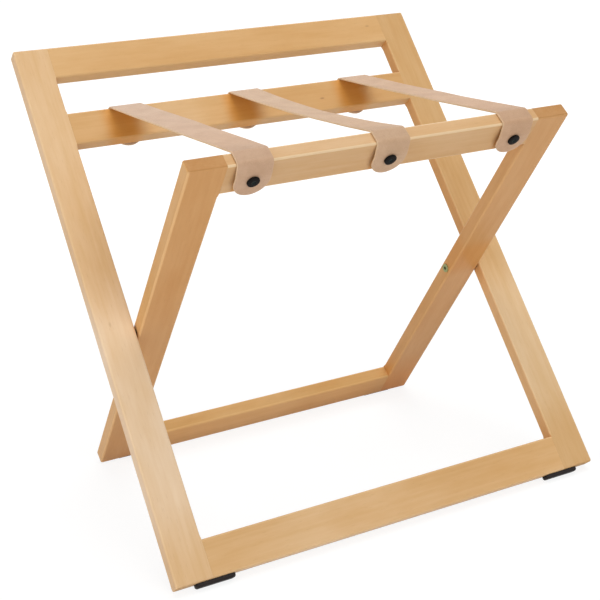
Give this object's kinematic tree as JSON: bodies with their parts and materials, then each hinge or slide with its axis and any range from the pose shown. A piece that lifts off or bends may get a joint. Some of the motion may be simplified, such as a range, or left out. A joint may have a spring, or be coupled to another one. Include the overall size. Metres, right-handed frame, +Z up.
{
  "type": "folding luggage rack",
  "caption": "Folding luggage bench: crossed beech frames on pivot bolts, leather straps screwed over the top rails to carry a case, and a raised rear guard rail.",
  "frame": {"origin": "centre of the bounding box, at floor level", "axes": "+X to the right along the rails, +Y to the back, where the guard rail is, +Z up"},
  "size_m": [0.6, 0.4578, 0.573],
  "materials": {
    "beech": "clear satin lacquer",
    "dowel_beech": "raw",
    "leather": "natural, smooth grain",
    "black_steel": "black oxide",
    "yellow_zinc": "yellow zinc plate",
    "brass": "plain",
    "nylon": "black",
    "rubber": "dark brown"
  },
  "bodies": {
    "outer_frame": {"outer_guard_rail": "beech", "outer_strap_rail": "beech", "outer_foot_rail": "beech", "outer_stile_left": "beech", "outer_stile_right": "beech", "dowel_outer_guard_left_upper": "dowel_beech", "dowel_outer_guard_left_lower": "dowel_beech", "dowel_outer_guard_right_upper": "dowel_beech", "dowel_outer_guard_right_lower": "dowel_beech", "dowel_outer_strap_left_upper": "dowel_beech", "dowel_outer_strap_left_lower": "dowel_beech", "dowel_outer_strap_right_upper": "dowel_beech", "dowel_outer_strap_right_lower": "dowel_beech", "dowel_outer_foot_left_upper": "dowel_beech", "dowel_outer_foot_left_lower": "dowel_beech", "dowel_outer_foot_right_upper": "dowel_beech", "dowel_outer_foot_right_lower": "dowel_beech", "foot_pad_outer_left": "rubber", "foot_pad_outer_right": "rubber", "strap_screw_outer_left": "black_steel", "strap_screw_outer_middle": "black_steel", "strap_screw_outer_right": "black_steel", "strap_left": "leather", "strap_middle": "leather", "strap_right": "leather", "pivot_bolt_left": "yellow_zinc", "pivot_bolt_right": "yellow_zinc", "pivot_washer_left": "nylon", "pivot_washer_right": "nylon", "pivot_insert_left": "brass", "pivot_insert_right": "brass"},
    "inner_frame": {"inner_strap_rail": "beech", "inner_foot_rail": "beech", "inner_stile_left": "beech", "inner_stile_right": "beech", "dowel_inner_strap_left_upper": "dowel_beech", "dowel_inner_strap_left_lower": "dowel_beech", "dowel_inner_strap_right_upper": "dowel_beech", "dowel_inner_strap_right_lower": "dowel_beech", "dowel_inner_foot_left_upper": "dowel_beech", "dowel_inner_foot_left_lower": "dowel_beech", "dowel_inner_foot_right_upper": "dowel_beech", "dowel_inner_foot_right_lower": "dowel_beech", "foot_pad_inner_left": "rubber", "foot_pad_inner_right": "rubber", "strap_screw_inner_left": "black_steel", "strap_screw_inner_middle": "black_steel", "strap_screw_inner_right": "black_steel"}
  },
  "joints": [
    {"name": "fold", "type": "hinge", "parent": "outer_frame", "child": "inner_frame", "pos_m": [0, -0.02965, 0.24828], "axis": [-1, 0, 0], "range_deg": [0, 70], "deforming": ["strap_left", "strap_middle", "strap_right"]}
  ]
}
